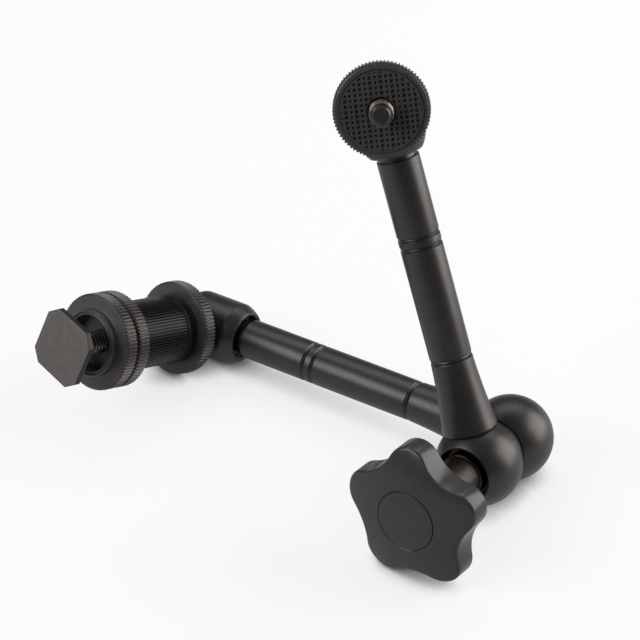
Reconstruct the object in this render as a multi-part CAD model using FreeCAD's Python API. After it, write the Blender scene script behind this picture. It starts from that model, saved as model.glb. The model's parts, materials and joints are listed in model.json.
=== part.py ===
import FreeCAD, Part
import math
import os

# Articulating friction arm: two tubes on a pair of ball-shaped hubs, one star knob that
# clamps the elbow and both end balls, a stud with a padded disc at one end and a
# flash-shoe adapter at the other. Millimetres, +Z up, standing on the table as pictured.

# Pose on the table, degrees
KNOB_AZIMUTH = -124.29      # heading of the elbow axis, knob end
KNOB_RISE = 7.90
ARM_A_TURN = 23.60          # arm directions about the elbow axis, from upright
ARM_B_TURN = 91.75
CUP_A_TURN = 33.20          # where the notch of each cup looks, from the knob side
CUP_B_TURN = 12.65
BEND_A = 90.0               # stud against its arm
BEND_B = 81.2

# Elbow
HUB_R = 12.0
HUB_SPACING = 2 * HUB_R - 7.2
HUB_FACE = HUB_R - 3.3     # front face of the front hub, from its centre
HUB_BACK = HUB_R - 0.6      # small flat at the back of the rear hub
ARM_SEAT = HUB_R - 2.1     # flat that carries the collar, from the hub centre
WASHER_T = 0.8
WASHER_R = HUB_R - 3.4
CONE_BORE = 6.0
WASHER_BORE = CONE_BORE + 0.3
RECESS_R = CONE_BORE + 1.8
RECESS_FLOOR = 4.3
CONE_FIT = 0.05
CONE_WAIST = 3.2            # cone radius level with the rods
CONE_TIP = 0.2              # start of the cone, past the rod's axis
CONE_LAND_END = 4.9
REAR_BORE_END = 6.9
REAR_KEY = CONE_BORE - 0.8  # flat that keeps the rear cone from turning
THRUST_T = 0.9
THRUST_R = CONE_BORE + 0.7
SCREW_R = 2.5
SCREW_FIT = 0.05
SCREW_TIP = 6.6             # beyond the centre of the rear hub
SPRING_STACK = 3.2          # height of the two disc springs
SPRING_T = 0.5
SPRING_R = CONE_BORE - 0.8
SPRING_FIT = 0.2

# Star knob
NECK_R = CONE_BORE + 0.3
NECK_END = 26.4
INSERT_R = NECK_R - 1.7
INSERT_END = 33.0
KNOB_BOSS_R = NECK_R + 2.3
KNOB_BACK = 27.8
KNOB_CREST = 38.3
KNOB_CROWN_R = 55.0
LOBES = 5
LOBE_FIRST = 9.8            # degrees from upright
LOBE_R = 6.15
LOBE_CENTRE = 14.1
VALLEY = 15.65
KNOB_EDGE = 0.65            # chamfer round the lobes
CAP_R = 8.35
CAP_T = 1.6
CAP_GAP = 0.12

# Arms
BALL_REACH = 104.0          # hub centre to ball centre
TUBE_R = 5.8
TUBE_WALL = 1.8
ROD_BORE = TUBE_R - TUBE_WALL
SPIGOT_R = ROD_BORE + 1.0
SPIGOT_END = 13.0
ROD_FIT = 0.06
ROD_TIP_R = ROD_BORE - 1.5
ROD_TIP_GAP = 0.2
COLLAR_FOOT_R = TUBE_R + 1.85
COLLAR_MID_R = TUBE_R + 0.7
COLLAR_MID = 20.0
COLLAR_END = 30.8
TUBE_SCREW_R = TUBE_R - 0.9
TUBE_SCREW_START = 24.0
GROOVE = 0.42               # depth of the turned V grooves
BAND_LOW = 63.4
BAND_HIGH = 66.3

# Swivel cups and balls, along the arm from the ball centre
BALL_R = 6.6
BALL_FIT = 0.05
PAD_FRONT = BALL_R - 3.0
PAD_RELIEF = BALL_R + 0.6
PAD_BACK = BALL_R + 2.15
CUP_SEAM = PAD_BACK + 2.05
NOSE_TIP = CUP_SEAM + 3.7
NOSE_LIP = 2.5
NOSE_SPIGOT = 1.3
NOSE_BORE = TUBE_SCREW_R + 1.5
NOSE_TIP_R = NOSE_BORE + 1.0
NOSE_EDGE = 0.5             # chamfer round its bore
NOSE_BULGE = 0.15
NECK_SHOW = 1.6             # bare tube neck in front of the nose
RING_R = NOSE_BORE + 1.1
RING_FIT = 0.05
RING_GAP = 0.1
NOSE_SPIGOT_R = RING_R + 0.8
CUP_R = NOSE_SPIGOT_R + 0.75
CUP_BORE = BALL_R + 0.1
CUP_SHOULDER = 1.1
CUP_BREAK = 3.75            # where its two outer slopes meet
CUP_BREAK_R = CUP_R - 0.75
CUP_TOP = 5.3
MOUTH_R = BALL_R - 1.45
CUP_TOP_R = MOUTH_R + 0.95
NOTCH_HALF = 3.25
BALL_FLAT = BALL_R - 0.7
SHANK_R = 2.55
SHANK_DEPTH = 3.0

# Studs and discs, along the stud from the ball centre
STUD_NECK_R = 3.0
STUD_R = 3.175              # quarter-inch thread
STUD_TIP_R = 2.35
STUD_RELIEF_R = 2.85        # runout of the thread, inside the rubber
STUD_TIP = 20.0
DISC_BACK = CUP_R + 1.35
DISC_T = 4.0
DISC_A_R = 12.7
DISC_B_R = 13.6
DISC_TEETH = 80
DISC_TOOTH = 0.34
DISC_CHAMFER = 0.45
RIM_STEP = 0.1              # shoulders beside the teeth, inside the tooth roots
DISC_BORE = 3.22
RUBBER_SET = 0.5
RUBBER_T = 1.0
RUBBER_BORE = 3.9
RUBBER_A_R = 10.8
RUBBER_B_R = 9.7

# Shoe adapter, along stud B from the ball centre
BARREL_START = DISC_BACK + DISC_T - RUBBER_SET + RUBBER_T + 0.1
BARREL_END = 37.6
BARREL_R = 9.95
BARREL_FLANGE_R = 9.6
BARREL_FLANGE = 2.4
BARREL_TEETH = 50
BARREL_TOOTH = 0.45
BARREL_EASE = 0.5           # slope at each end of the ridges
BARREL_STUD_END = 24.0
SPINDLE_START = 27.0
WHEEL_R = 13.8
WHEEL_T = 4.0
WHEEL_TEETH = 80
WHEEL_BORE = 3.22
WHEEL_GAP = 0.8
WHEEL_BOSS_R = 9.7
WHEEL_BOSS = 2.3
WHEEL_DISH_R = 8.2
WHEEL_DISH = 0.9
SHOE_SIDE = 18.6
SHOE_CUT = 3.2
SHOE_T = 2.0
SHOE_FACE = 59.0
SHOE_TURN = -16.0           # degrees, the plate about its spindle
SHOE_POST_R = 5.0
SHOE_POST = 2.6

V = FreeCAD.Vector
O = V(0, 0, 0)
Z = V(0, 0, 1)


def frame(origin, z, x):
    """Placement with its Z along z and its X as near to x as it can be."""
    z = V(z).normalize()
    y = z.cross(x).normalize()
    x = y.cross(z)
    m = FreeCAD.Matrix(x.x, y.x, z.x, origin.x, x.y, y.y, z.y, origin.y,
                       x.z, y.z, z.z, origin.z, 0, 0, 0, 1)
    return FreeCAD.Placement(m)


def around(axis, start, degrees):
    """Start, a unit vector square to the axis, turned about the axis."""
    a = math.radians(degrees)
    return start * math.cos(a) + axis.cross(start) * math.sin(a)


def lathe(outline):
    """Turned solid about Z from (radius, height) corners; a corner with four numbers is
    reached by an arc through the last two."""
    edges, last = [], outline[-1]
    for corner in outline:
        a, b = V(last[0], 0, last[1]), V(corner[0], 0, corner[1])
        if len(corner) == 4:
            edges.append(Part.Arc(a, V(corner[2], 0, corner[3]), b).toShape())
        else:
            edges.append(Part.makeLine(a, b))
        last = corner
    return Part.Face(Part.Wire(edges)).revolve(O, Z, 360)


def drum(radius, low, high):
    return Part.makeCylinder(radius, high - low, V(0, 0, low))


def side_drum(radius, height, direction, length):
    return Part.makeCylinder(radius, length, V(0, 0, height), direction)


def toothed(radius, depth, count, low, high):
    """Prism with pointed teeth, for the knurled rims."""
    points = []
    for i in range(2 * count + 1):
        a = math.pi * i / count
        r = radius if i % 2 == 0 else radius - depth
        points.append(V(r * math.cos(a), r * math.sin(a), low))
    return Part.Face(Part.makePolygon(points)).extrude(V(0, 0, high - low))


def knurled_disc(radius, teeth, low, high, bore):
    """Disc with a toothed rim between two smooth chamfered shoulders."""
    c = DISC_CHAMFER
    root = radius - DISC_TOOTH
    step = root - RIM_STEP
    body = lathe([(bore, low), (root - c, low), (step, low + c), (step, high - c),
                  (root - c, high), (bore, high)])
    rim = toothed(radius, DISC_TOOTH, teeth, low + c, high - c)
    return body.fuse(rim.cut(drum(root - c, low, high)))


def front_hub():
    """Elbow frame: Z towards the knob, X along arm A, origin between the hubs."""
    c = HUB_SPACING / 2
    hub = Part.makeSphere(HUB_R, V(0, 0, c))
    hub = hub.common(drum(2 * HUB_R, WASHER_T / 2, c + HUB_FACE))
    hub = hub.common(Part.makeBox(HUB_R + ARM_SEAT, 4 * HUB_R, 4 * HUB_R,
                                  V(-HUB_R, -2 * HUB_R, -HUB_R)))
    hub = hub.fuse(side_drum(SPIGOT_R, c, V(1, 0, 0), SPIGOT_END))
    hub = hub.cut(drum(CONE_BORE, 0, c + RECESS_FLOOR))
    hub = hub.cut(drum(RECESS_R, c + RECESS_FLOOR, c + 2 * HUB_R))
    return hub.cut(side_drum(ROD_BORE, c, V(1, 0, 0), 2 * SPIGOT_END))


def rear_hub():
    """The same frame with X along arm B."""
    c = -HUB_SPACING / 2
    hub = Part.makeSphere(HUB_R, V(0, 0, c))
    hub = hub.common(drum(2 * HUB_R, c - HUB_BACK, -WASHER_T / 2))
    hub = hub.common(Part.makeBox(HUB_R + ARM_SEAT, 4 * HUB_R, 4 * HUB_R,
                                  V(-HUB_R, -2 * HUB_R, c - 2 * HUB_R)))
    hub = hub.fuse(side_drum(SPIGOT_R, c, V(1, 0, 0), SPIGOT_END))
    hub = hub.cut(drum(CONE_BORE, c - CONE_WAIST, 0))
    hub = hub.cut(keyed(drum(CONE_BORE, c - REAR_BORE_END, 0), CONE_FIT))
    return hub.cut(side_drum(ROD_BORE, c, V(1, 0, 0), 2 * SPIGOT_END))


def keyed(body, slack):
    """Body with its side away from the arm cut flat."""
    return body.common(Part.makeBox(4 * HUB_R, 4 * HUB_R, 4 * HUB_R,
                                    V(-REAR_KEY - slack, -2 * HUB_R, -2.5 * HUB_R)))


def friction_washer():
    return drum(WASHER_R, -WASHER_T / 2, WASHER_T / 2).cut(
        drum(WASHER_BORE, -WASHER_T, WASHER_T))


def cone():
    """Wedge that spreads a rod, nose down, origin at the hub centre."""
    r = CONE_BORE - CONE_FIT
    bore = SCREW_R + SCREW_FIT
    nose = -HUB_SPACING / 2 + SPRING_STACK / 2
    return lathe([(bore, nose), (CONE_WAIST - CONE_TIP, nose),
                  (CONE_WAIST - CONE_TIP, -CONE_TIP),
                  (r, r - CONE_WAIST), (r, CONE_LAND_END), (bore, CONE_LAND_END)])


def front_cone():
    part = cone()
    part.translate(V(0, 0, HUB_SPACING / 2))
    return part


def rear_cone():
    part = cone()
    part.rotate(O, V(1, 0, 0), 180)
    part.translate(V(0, 0, -HUB_SPACING / 2))
    return keyed(part, 0)


def thrust_washer():
    low = HUB_SPACING / 2 + CONE_LAND_END
    return drum(THRUST_R, low, low + THRUST_T).cut(
        drum(SCREW_R + SCREW_FIT, low, low + THRUST_T))


def cone_springs():
    """Two disc springs, rim to rim, that part the cones."""
    r, t = SCREW_R + SPRING_FIT, SPRING_T
    low = -SPRING_STACK / 2
    disc = lathe([(r, low), (SPRING_R, -t), (SPRING_R, 0), (r, low + t)])
    return Part.makeCompound([disc, disc.mirror(O, Z)])


def clamp_screw():
    """Screw with the stout neck that fills the recess, moulded into the knob."""
    c = HUB_SPACING / 2
    foot = c + CONE_LAND_END + THRUST_T
    return lathe([(0, -c - SCREW_TIP), (SCREW_R - 0.4, -c - SCREW_TIP),
                  (SCREW_R, -c - SCREW_TIP + 0.4), (SCREW_R, foot),
                  (NECK_R - 0.4, foot), (NECK_R, foot + 0.4), (NECK_R, c + NECK_END),
                  (INSERT_R, c + NECK_END), (INSERT_R, c + INSERT_END),
                  (0, c + INSERT_END)])


def star_outline(height):
    """Rounded lobes joined by hollow arcs that touch them."""
    h = math.pi / LOBES
    k = LOBE_CENTRE * math.cos(h)
    hollow = ((LOBE_CENTRE ** 2 + VALLEY ** 2 - 2 * k * VALLEY - LOBE_R ** 2)
              / (2 * (LOBE_R + k - VALLEY)))
    far = VALLEY + hollow

    def at(r, a):
        return V(r * math.cos(a), r * math.sin(a), height)

    edges = []
    for i in range(LOBES):
        a = 2 * h * i
        lobe = at(LOBE_CENTRE, a)
        share = LOBE_R / (LOBE_R + hollow)
        before = lobe + (at(far, a - h) - lobe) * share
        after = lobe + (at(far, a + h) - lobe) * share
        nxt = at(LOBE_CENTRE, a + 2 * h)
        start = nxt + (at(far, a + h) - nxt) * share
        edges.append(Part.Arc(before, at(LOBE_CENTRE + LOBE_R, a), after).toShape())
        edges.append(Part.Arc(after, at(VALLEY, a + h), start).toShape())
    return Part.Wire(edges)


def crown():
    """Ball whose top is the domed face of the knob; its poles lie off to the sides."""
    centre = V(0, 0, HUB_SPACING / 2 + KNOB_CREST - KNOB_CROWN_R)
    return Part.makeSphere(KNOB_CROWN_R, centre, V(1, 0, 0), -90, 90, 360)


def knob_body():
    c = HUB_SPACING / 2
    star = Part.Face(star_outline(c + KNOB_BACK)).extrude(V(0, 0, KNOB_CREST - KNOB_BACK))
    star = star.common(crown())
    rims = [e for e in star.Edges if len(e.Vertexes) == 2 and
            abs(e.tangentAt(e.FirstParameter).z) < 0.9]
    star = star.makeChamfer(KNOB_EDGE, rims)
    star = star.fuse(lathe([(0, c + NECK_END), (KNOB_BOSS_R - 1.0, c + NECK_END),
                            (KNOB_BOSS_R, c + KNOB_BACK), (0, c + KNOB_BACK)]))
    star = star.cut(drum(INSERT_R, c, c + INSERT_END))
    return star.cut(drum(CAP_R + CAP_GAP, c + KNOB_CREST - CAP_T, 2 * (c + KNOB_CREST)))


def knob_cap():
    c = HUB_SPACING / 2
    cap = drum(CAP_R, c + KNOB_CREST - CAP_T, c + KNOB_CREST)
    return cap.common(crown())


def collar():
    """Arm frame: Z along the arm, origin at the hub centre."""
    g = GROOVE
    return lathe([(SPIGOT_R, ARM_SEAT), (COLLAR_FOOT_R - 0.3, ARM_SEAT),
                  (COLLAR_FOOT_R, ARM_SEAT + 0.5),
                  (TUBE_R, COLLAR_END - g, COLLAR_MID_R, COLLAR_MID),
                  (TUBE_R - g, COLLAR_END), (TUBE_SCREW_R, COLLAR_END),
                  (TUBE_SCREW_R, TUBE_SCREW_START), (ROD_BORE, TUBE_SCREW_START),
                  (ROD_BORE, SPIGOT_END), (SPIGOT_R, SPIGOT_END)])


def tube():
    g = GROOVE
    shoulder = BALL_REACH - NOSE_TIP - NECK_SHOW
    end = ring_end()
    return lathe([(ROD_BORE, TUBE_SCREW_START), (TUBE_SCREW_R, TUBE_SCREW_START),
                  (TUBE_SCREW_R, COLLAR_END), (TUBE_R - g, COLLAR_END),
                  (TUBE_R, COLLAR_END + g),
                  (TUBE_R, BAND_LOW - g), (TUBE_R - g, BAND_LOW), (TUBE_R, BAND_LOW + g),
                  (TUBE_R, BAND_HIGH - g), (TUBE_R - g, BAND_HIGH), (TUBE_R, BAND_HIGH + g),
                  (TUBE_R, shoulder), (TUBE_SCREW_R, shoulder), (TUBE_SCREW_R, end),
                  (ROD_BORE, end)])


def ring_end():
    return BALL_REACH - CUP_SEAM + NOSE_SPIGOT - RING_GAP


def swivel_ring():
    """Collar on the tube end that carries the cup."""
    low = BALL_REACH - NOSE_TIP + NOSE_LIP + RING_GAP
    return drum(RING_R, low, ring_end()).cut(drum(TUBE_SCREW_R, low, ring_end()))


def push_rod():
    """Rod inside the tube, from the cone to the ball pad."""
    r = ROD_BORE - ROD_FIT
    centre = CONE_WAIST + (ROD_TIP_R + ROD_TIP_GAP) * math.sqrt(2)
    end = BALL_REACH - PAD_BACK
    slant = ROD_TIP_R * math.sqrt(0.5)
    return lathe([(0, centre - ROD_TIP_R),
                  (ROD_TIP_R, centre, slant, centre - slant),
                  (r, centre + 2 * (r - ROD_TIP_R)), (r, end), (0, end)])


def seat_sum():
    """Radius plus height of a 45 degree seat that touches the ball."""
    return (BALL_R + BALL_FIT) * math.sqrt(2)


def ball_pad():
    """Conical seat on the rod end that grips the ball."""
    seat = seat_sum()
    r = CUP_BORE - BALL_FIT
    arm = BALL_REACH
    return lathe([(0, arm - PAD_BACK), (r, arm - PAD_BACK), (r, arm - PAD_FRONT),
                  (seat - PAD_FRONT, arm - PAD_FRONT), (seat - PAD_RELIEF, arm - PAD_RELIEF),
                  (0, arm - PAD_RELIEF)])


def cup_nose():
    """Tapered nut at the tube side of the cup."""
    a = BALL_REACH
    lip = a - NOSE_TIP + NOSE_LIP
    end = a - CUP_SEAM + NOSE_SPIGOT
    bore = RING_R + RING_FIT
    low, seam = a - NOSE_TIP, a - CUP_SEAM
    bulge = (NOSE_TIP_R + CUP_R) / 2 + NOSE_BULGE
    return lathe([(NOSE_BORE, low + NOSE_EDGE), (NOSE_BORE + NOSE_EDGE, low),
                  (NOSE_TIP_R - 0.15, low), (NOSE_TIP_R, low + 0.15),
                  (CUP_R, seam, bulge, (low + seam) / 2),
                  (NOSE_SPIGOT_R, seam), (NOSE_SPIGOT_R, end), (bore, end),
                  (bore, lip), (NOSE_BORE, lip)])


def ball_cup():
    """Socket with its mouth at the far end and a notch down the +X side."""
    a = BALL_REACH
    seat = seat_sum()
    inner = a - CUP_SEAM + NOSE_SPIGOT
    cup = lathe([(NOSE_SPIGOT_R, a - CUP_SEAM), (CUP_R, a - CUP_SEAM),
                 (CUP_R, a + CUP_SHOULDER),
                 (CUP_BREAK_R, a + CUP_BREAK), (CUP_TOP_R, a + CUP_TOP),
                 (MOUTH_R + 0.3, a + CUP_TOP), (MOUTH_R, a + CUP_TOP - 0.3),
                 (MOUTH_R, a + seat - MOUTH_R), (CUP_BORE, a + seat - CUP_BORE),
                 (CUP_BORE, inner), (NOSE_SPIGOT_R, inner)])
    slot = Part.makeBox(2 * CUP_R, 2 * NOTCH_HALF, 2 * CUP_TOP, V(0, -NOTCH_HALF, a))
    return cup.cut(slot).cut(Part.makeCylinder(NOTCH_HALF, 2 * CUP_R, V(0, 0, a), V(1, 0, 0)))


def ball():
    """Stud frame: Z along the stud, origin at the ball centre."""
    part = Part.makeSphere(BALL_R).common(drum(2 * BALL_R, -BALL_R, BALL_FLAT))
    return part.cut(drum(SHANK_R + SCREW_FIT, -SHANK_DEPTH - 0.2, BALL_R))


def stud():
    neck = BALL_FLAT + 0.1
    relief = DISC_BACK + DISC_T - RUBBER_SET
    pad = relief + RUBBER_T
    return lathe([(0, -SHANK_DEPTH), (SHANK_R, -SHANK_DEPTH), (SHANK_R, neck),
                  (STUD_NECK_R, neck), (STUD_NECK_R, DISC_BACK), (STUD_R, DISC_BACK),
                  (STUD_R, relief), (STUD_RELIEF_R, relief), (STUD_RELIEF_R, pad), (STUD_R, pad),
                  (STUD_R, STUD_TIP - STUD_R + STUD_TIP_R), (STUD_TIP_R, STUD_TIP),
                  (0, STUD_TIP)])


def lock_disc(radius, rubber):
    high = DISC_BACK + DISC_T
    disc = knurled_disc(radius, DISC_TEETH, DISC_BACK, high, DISC_BORE)
    return disc.cut(drum(rubber, high - RUBBER_SET, high + 1))


def rubber_pad(radius):
    low = DISC_BACK + DISC_T - RUBBER_SET
    return drum(radius, low, low + RUBBER_T).cut(drum(RUBBER_BORE, low, low + RUBBER_T))


def barrel():
    low, high, ease = BARREL_START, BARREL_END, BARREL_EASE
    foot = low + BARREL_FLANGE
    flange = BARREL_FLANGE_R
    step = BARREL_R - BARREL_TOOTH - RIM_STEP
    body = lathe([(0, low), (flange - 0.3, low), (flange, low + 0.3), (flange, foot),
                  (step, foot + ease), (step, high - ease), (step - ease, high), (0, high)])
    ridges = toothed(BARREL_R, BARREL_TOOTH, BARREL_TEETH, foot + ease, high - ease)
    body = body.fuse(ridges)
    body = body.cut(drum(STUD_R + 0.045, low, BARREL_STUD_END))
    return body.cut(drum(STUD_R, SPINDLE_START, high))


def wheel_two():
    return knurled_disc(WHEEL_R, WHEEL_TEETH, BARREL_END, BARREL_END + WHEEL_T, WHEEL_BORE)


def wheel_one():
    low = BARREL_END + WHEEL_T + WHEEL_GAP
    high = low + WHEEL_T
    top = high + WHEEL_BOSS
    wheel = knurled_disc(WHEEL_R, WHEEL_TEETH, low, high, WHEEL_BORE)
    r, d = WHEEL_BOSS_R, WHEEL_DISH_R
    boss = lathe([(WHEEL_BORE, high - 0.5), (r, high - 0.5), (r, top - 0.3), (r - 0.3, top),
                  (d, top), (d - 0.4, top - WHEEL_DISH), (WHEEL_BORE, top - WHEEL_DISH)])
    return wheel.fuse(boss)


def shoe_foot():
    """Foot plate with the threaded spindle that fixes it to the barrel."""
    s, c = SHOE_SIDE / 2, SHOE_SIDE / 2 - SHOE_CUT
    low = SHOE_FACE - SHOE_T
    points = [V(s, -c, low), V(s, c, low), V(c, s, low), V(-c, s, low), V(-s, c, low),
              V(-s, -c, low), V(-c, -s, low), V(c, -s, low), V(s, -c, low)]
    plate = Part.Face(Part.makePolygon(points)).extrude(V(0, 0, SHOE_T))
    plate = plate.makeChamfer(0.25, [e for e in plate.Edges
                                     if e.BoundBox.ZMin > SHOE_FACE - 0.01])
    plate.rotate(O, Z, SHOE_TURN)
    post = lathe([(0, SPINDLE_START), (STUD_R, SPINDLE_START), (STUD_R, low - SHOE_POST),
                  (SHOE_POST_R, low - SHOE_POST), (SHOE_POST_R, low), (0, low)])
    return plate.fuse(post)


# Directions of the elbow, arms and studs
rise, heading = math.radians(KNOB_RISE), math.radians(KNOB_AZIMUTH)
KNOB = V(math.cos(rise) * math.cos(heading), math.cos(rise) * math.sin(heading), math.sin(rise))
UP = (Z - KNOB * KNOB.dot(Z)).normalize()
ARM_A, ARM_B = around(KNOB, UP, ARM_A_TURN), around(KNOB, UP, ARM_B_TURN)
NOTCH_A = around(ARM_A, KNOB, CUP_A_TURN)
NOTCH_B = around(ARM_B, KNOB, CUP_B_TURN)
bend_a, bend_b = math.radians(BEND_A), math.radians(BEND_B)
STUD_A = ARM_A * math.cos(bend_a) + NOTCH_A * math.sin(bend_a)
STUD_B = ARM_B * math.cos(bend_b) + NOTCH_B * math.sin(bend_b)

HUB_A = KNOB * (HUB_SPACING / 2)
HUB_B = KNOB * (-HUB_SPACING / 2)
BALL_A = HUB_A + ARM_A * BALL_REACH
BALL_B = HUB_B + ARM_B * BALL_REACH
AT_ELBOW_A, AT_ELBOW_B = frame(O, KNOB, ARM_A), frame(O, KNOB, ARM_B)
LOBE_DIRECTION = around(KNOB, UP, LOBE_FIRST)
AT_KNOB = frame(O, KNOB, LOBE_DIRECTION)
AT_ARM_A, AT_ARM_B = frame(HUB_A, ARM_A, NOTCH_A), frame(HUB_B, ARM_B, NOTCH_B)
AT_STUD_A, AT_STUD_B = frame(BALL_A, STUD_A, ARM_A), frame(BALL_B, STUD_B, ARM_B)

parts = {
    "rear_hub": (rear_hub, AT_ELBOW_B),
    "front_hub": (front_hub, AT_ELBOW_A),
    "friction_washer": (friction_washer, AT_ELBOW_B),
    "front_cone": (front_cone, AT_ELBOW_A),
    "rear_cone": (rear_cone, AT_ELBOW_B),
    "cone_springs": (cone_springs, AT_ELBOW_B),
    "thrust_washer": (thrust_washer, AT_ELBOW_A),
    "clamp_screw": (clamp_screw, AT_KNOB),
    "knob_body": (knob_body, AT_KNOB),
    "knob_cap": (knob_cap, AT_KNOB),
    "stud_a": (stud, AT_STUD_A),
    "lock_disc_a": (lambda: lock_disc(DISC_A_R, RUBBER_A_R), AT_STUD_A),
    "rubber_pad_a": (lambda: rubber_pad(RUBBER_A_R), AT_STUD_A),
    "stud_b": (stud, AT_STUD_B),
    "lock_disc_b": (lambda: lock_disc(DISC_B_R, RUBBER_B_R), AT_STUD_B),
    "rubber_pad_b": (lambda: rubber_pad(RUBBER_B_R), AT_STUD_B),
    "shoe_barrel": (barrel, AT_STUD_B),
    "shoe_wheel_2": (wheel_two, AT_STUD_B),
    "shoe_wheel_1": (wheel_one, AT_STUD_B),
    "shoe_foot": (shoe_foot, AT_STUD_B),
}
for side, at_arm, at_stud in (("a", AT_ARM_A, AT_STUD_A), ("b", AT_ARM_B, AT_STUD_B)):
    for name, build in (("collar", collar), ("tube", tube), ("swivel_ring", swivel_ring),
                        ("push_rod", push_rod), ("ball_pad", ball_pad),
                        ("cup_nose", cup_nose), ("ball_cup", ball_cup)):
        parts["%s_%s" % (name, side)] = (build, at_arm)
    parts["ball_%s" % side] = (ball, at_stud)

solids = {}
for node, (build, place) in parts.items():
    pieces = build().removeSplitter().Solids
    shape = pieces[0] if len(pieces) == 1 else Part.makeCompound(pieces)
    shape.Placement = place.multiply(shape.Placement)
    solids[node] = shape

# Stand the whole on the table, centred
box = FreeCAD.BoundBox()
for shape in solids.values():
    box.add(shape.optimalBoundingBox(False))
SHIFT = V(-(box.XMin + box.XMax) / 2, -(box.YMin + box.YMax) / 2, -box.ZMin)
os.makedirs("parts", exist_ok=True)
for node, shape in solids.items():
    shape.translate(SHIFT)
    shape.exportStep("parts/" + node + ".step")
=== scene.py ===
import bpy
import bmesh
import json
import math
from mathutils import Matrix, Vector


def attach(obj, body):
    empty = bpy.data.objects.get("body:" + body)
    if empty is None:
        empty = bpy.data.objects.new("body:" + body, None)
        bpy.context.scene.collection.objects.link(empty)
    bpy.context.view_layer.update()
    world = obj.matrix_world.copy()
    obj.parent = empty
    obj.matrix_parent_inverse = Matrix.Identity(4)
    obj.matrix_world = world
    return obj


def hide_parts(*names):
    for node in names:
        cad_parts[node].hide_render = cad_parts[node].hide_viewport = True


# Looks of the articulating friction arm. Pieces are modelled in millimetres in the frame of
# the joint or arm that carries them, then placed in metres over the CAD nodes they stand for.

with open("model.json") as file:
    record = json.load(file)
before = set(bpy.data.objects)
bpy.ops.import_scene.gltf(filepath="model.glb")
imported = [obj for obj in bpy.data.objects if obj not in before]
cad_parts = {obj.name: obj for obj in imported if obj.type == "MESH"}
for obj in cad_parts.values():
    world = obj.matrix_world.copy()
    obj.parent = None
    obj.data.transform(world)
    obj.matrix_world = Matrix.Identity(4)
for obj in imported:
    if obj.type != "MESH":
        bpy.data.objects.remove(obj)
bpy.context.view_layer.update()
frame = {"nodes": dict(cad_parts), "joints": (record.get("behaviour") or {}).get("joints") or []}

MM = 0.001
TAU = 2 * math.pi
JOINTS = {j["name"]: j for j in frame["joints"]}

# Roundings of corners, millimetres
TIGHT = 0.05
CRISP = 0.06
FINE = 0.08
EDGE = 0.1
EASED = 0.12
SOFT = 0.15
ROUND = 0.2
BLUNT = 0.3

# Hubs and elbow, millimetres
HUB_R = 12.0
HUB_OFFSET = 8.4            # from the hub's centre to the middle of the elbow
HUB_GAP = 0.4               # half the friction washer
HUB_FACE = 8.7
HUB_BACK = 11.4
RECESS_R = 7.8
RECESS_FLOOR = 4.3
CONE_BORE = 6.0
CONE_FLOOR = 5.0
ARM_SEAT = 9.9

# Star knob
NECK_R = 6.3
NECK_START = 5.8
NECK_END = 26.4
NECK_BEVEL = 0.4
NECK_LINE = 3.4
NECK_LINE_T = 1.0
NECK_LINE_DEEP = 0.35
KNOB_BACK = 27.8
KNOB_CREST = 38.3
KNOB_BOSS = [(7.3, NECK_END), (7.55, NECK_END + 0.12), (8.4, KNOB_BACK - 0.4), (8.85, KNOB_BACK)]
KNOB_ROUND = 0.7
CROWN_R = 55.0
LOBES = 5
LOBE_FIRST = math.radians(9.8)
LOBE_R = 6.10
LOBE_CENTRE = 14.1
LOBE_STEPS = 20
VALLEY = 15.65
SCREW_HOLE_R = 4.6
SCREW_HOLE = 1.0
KNOB_BORE_R = 3.0
CAP_R = 8.35
CAP_T = 1.6
CAP_GAP = 0.2
CAP_LIFT = 0.02
CAP_EDGE = 0.14
CAP_STEPS = 10

# Arms; a turned line is a list of depth, height and rounding
REACH = 104.0
TUBE_R = 5.8
GROOVE = 0.42
COLLAR_FOOT_R = 7.65
COLLAR_FOOT = 0.5
COLLAR_BEVEL = 0.3
COLLAR_MID_R = 6.5
COLLAR_MID = 20.0
COLLAR_END = 30.8
BAND_LOW = 63.4
BAND_HIGH = 66.3
BAND_LINE = [(0, 0.62, EDGE), (GROOVE, 0.3, CRISP), (0.14, 0, FINE), (GROOVE, -0.3, CRISP),
             (0, -0.62, EDGE)]
COLLAR_LINE = [(0, 1.0, EDGE), (0.28, 0.72, CRISP), (0.1, 0.42, FINE), (GROOVE, 0, TIGHT)]
ROD_BORE = 4.0

# Cups
CUP_R = 9.0
CUP_SEAM = 10.8
CUP_SHOULDER = 1.1
CUP_BREAK = 3.75
CUP_BREAK_R = 8.3
CUP_TOP = 5.3
CUP_TOP_R = 6.1
CUP_BORE = 6.7
CUP_STEP = 9.5
SOCKET_R = 6.65
SOCKET_MID = 0.34           # angle of a point in the socket's round
SOCKET_SKIRT = 4.0
MOUTH_R = 5.15
MOUTH_SEAT = 4.2
MOUTH_BEVEL = 0.3
NOTCH_HALF = 3.25
NOTCH_STEPS = 16
NOSE_TIP = 14.5
NOSE_TIP_R = 7.4
NOSE_BULGE = 0.18
NOSE_BORE = 6.4
NOSE_EDGE = 0.5
NOSE_BEVEL = 0.15
NOSE_LIP = 2.5
RING_BORE = 7.55
NECK_SHOW = 1.6
TUBE_NECK_R = 4.9
TUBE_END = 9.6

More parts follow.
